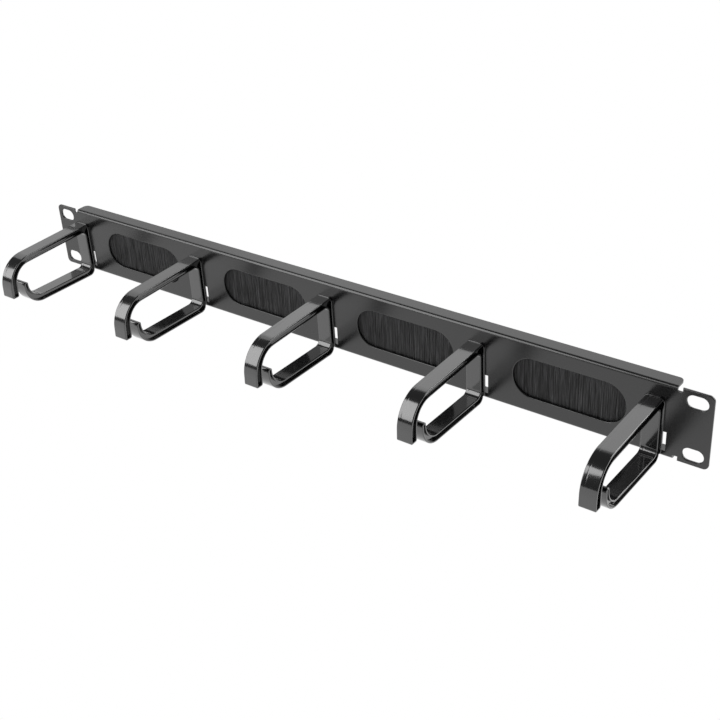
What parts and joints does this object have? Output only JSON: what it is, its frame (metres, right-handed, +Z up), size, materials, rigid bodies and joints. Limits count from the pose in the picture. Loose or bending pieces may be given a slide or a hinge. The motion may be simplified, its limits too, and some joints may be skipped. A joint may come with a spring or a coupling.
{
  "type": "horizontal cable manager",
  "caption": "One-unit rack panel with snap-in plastic cable rings on its face and strip brushes behind long round-ended openings, for leading patch cables along and through a rack.",
  "frame": {"origin": "centre of the plane in which the rear faces of the two ears lie against the rack posts", "axes": "+X to the right seen from the front, the face with the rings looks along -Y, +Z up"},
  "size_m": [0.4826, 0.0809, 0.0469],
  "materials": {
    "black_powder_coat": "matt powder coat with a fine grain",
    "black_gloss_plastic": "glossy moulded plastic",
    "black_bristle": "fine nylon bristles",
    "galvanised_steel": "zinc-coated strip and wire"
  },
  "bodies": {
    "root": {"panel": "black_powder_coat", "cable_ring_1": "black_gloss_plastic", "cable_ring_2": "black_gloss_plastic", "cable_ring_3": "black_gloss_plastic", "cable_ring_4": "black_gloss_plastic", "cable_ring_5": "black_gloss_plastic", "brush_channel_1": "galvanised_steel", "brush_bristles_1": "black_bristle", "brush_core_wire_1": "galvanised_steel", "channel_clip_1_left": "galvanised_steel", "channel_clip_1_right": "galvanised_steel", "brush_channel_2": "galvanised_steel", "brush_bristles_2": "black_bristle", "brush_core_wire_2": "galvanised_steel", "channel_clip_2_left": "galvanised_steel", "channel_clip_2_right": "galvanised_steel", "brush_channel_3": "galvanised_steel", "brush_bristles_3": "black_bristle", "brush_core_wire_3": "galvanised_steel", "channel_clip_3_left": "galvanised_steel", "channel_clip_3_right": "galvanised_steel", "brush_channel_4": "galvanised_steel", "brush_bristles_4": "black_bristle", "brush_core_wire_4": "galvanised_steel", "channel_clip_4_left": "galvanised_steel", "channel_clip_4_right": "galvanised_steel"}
  },
  "joints": []
}
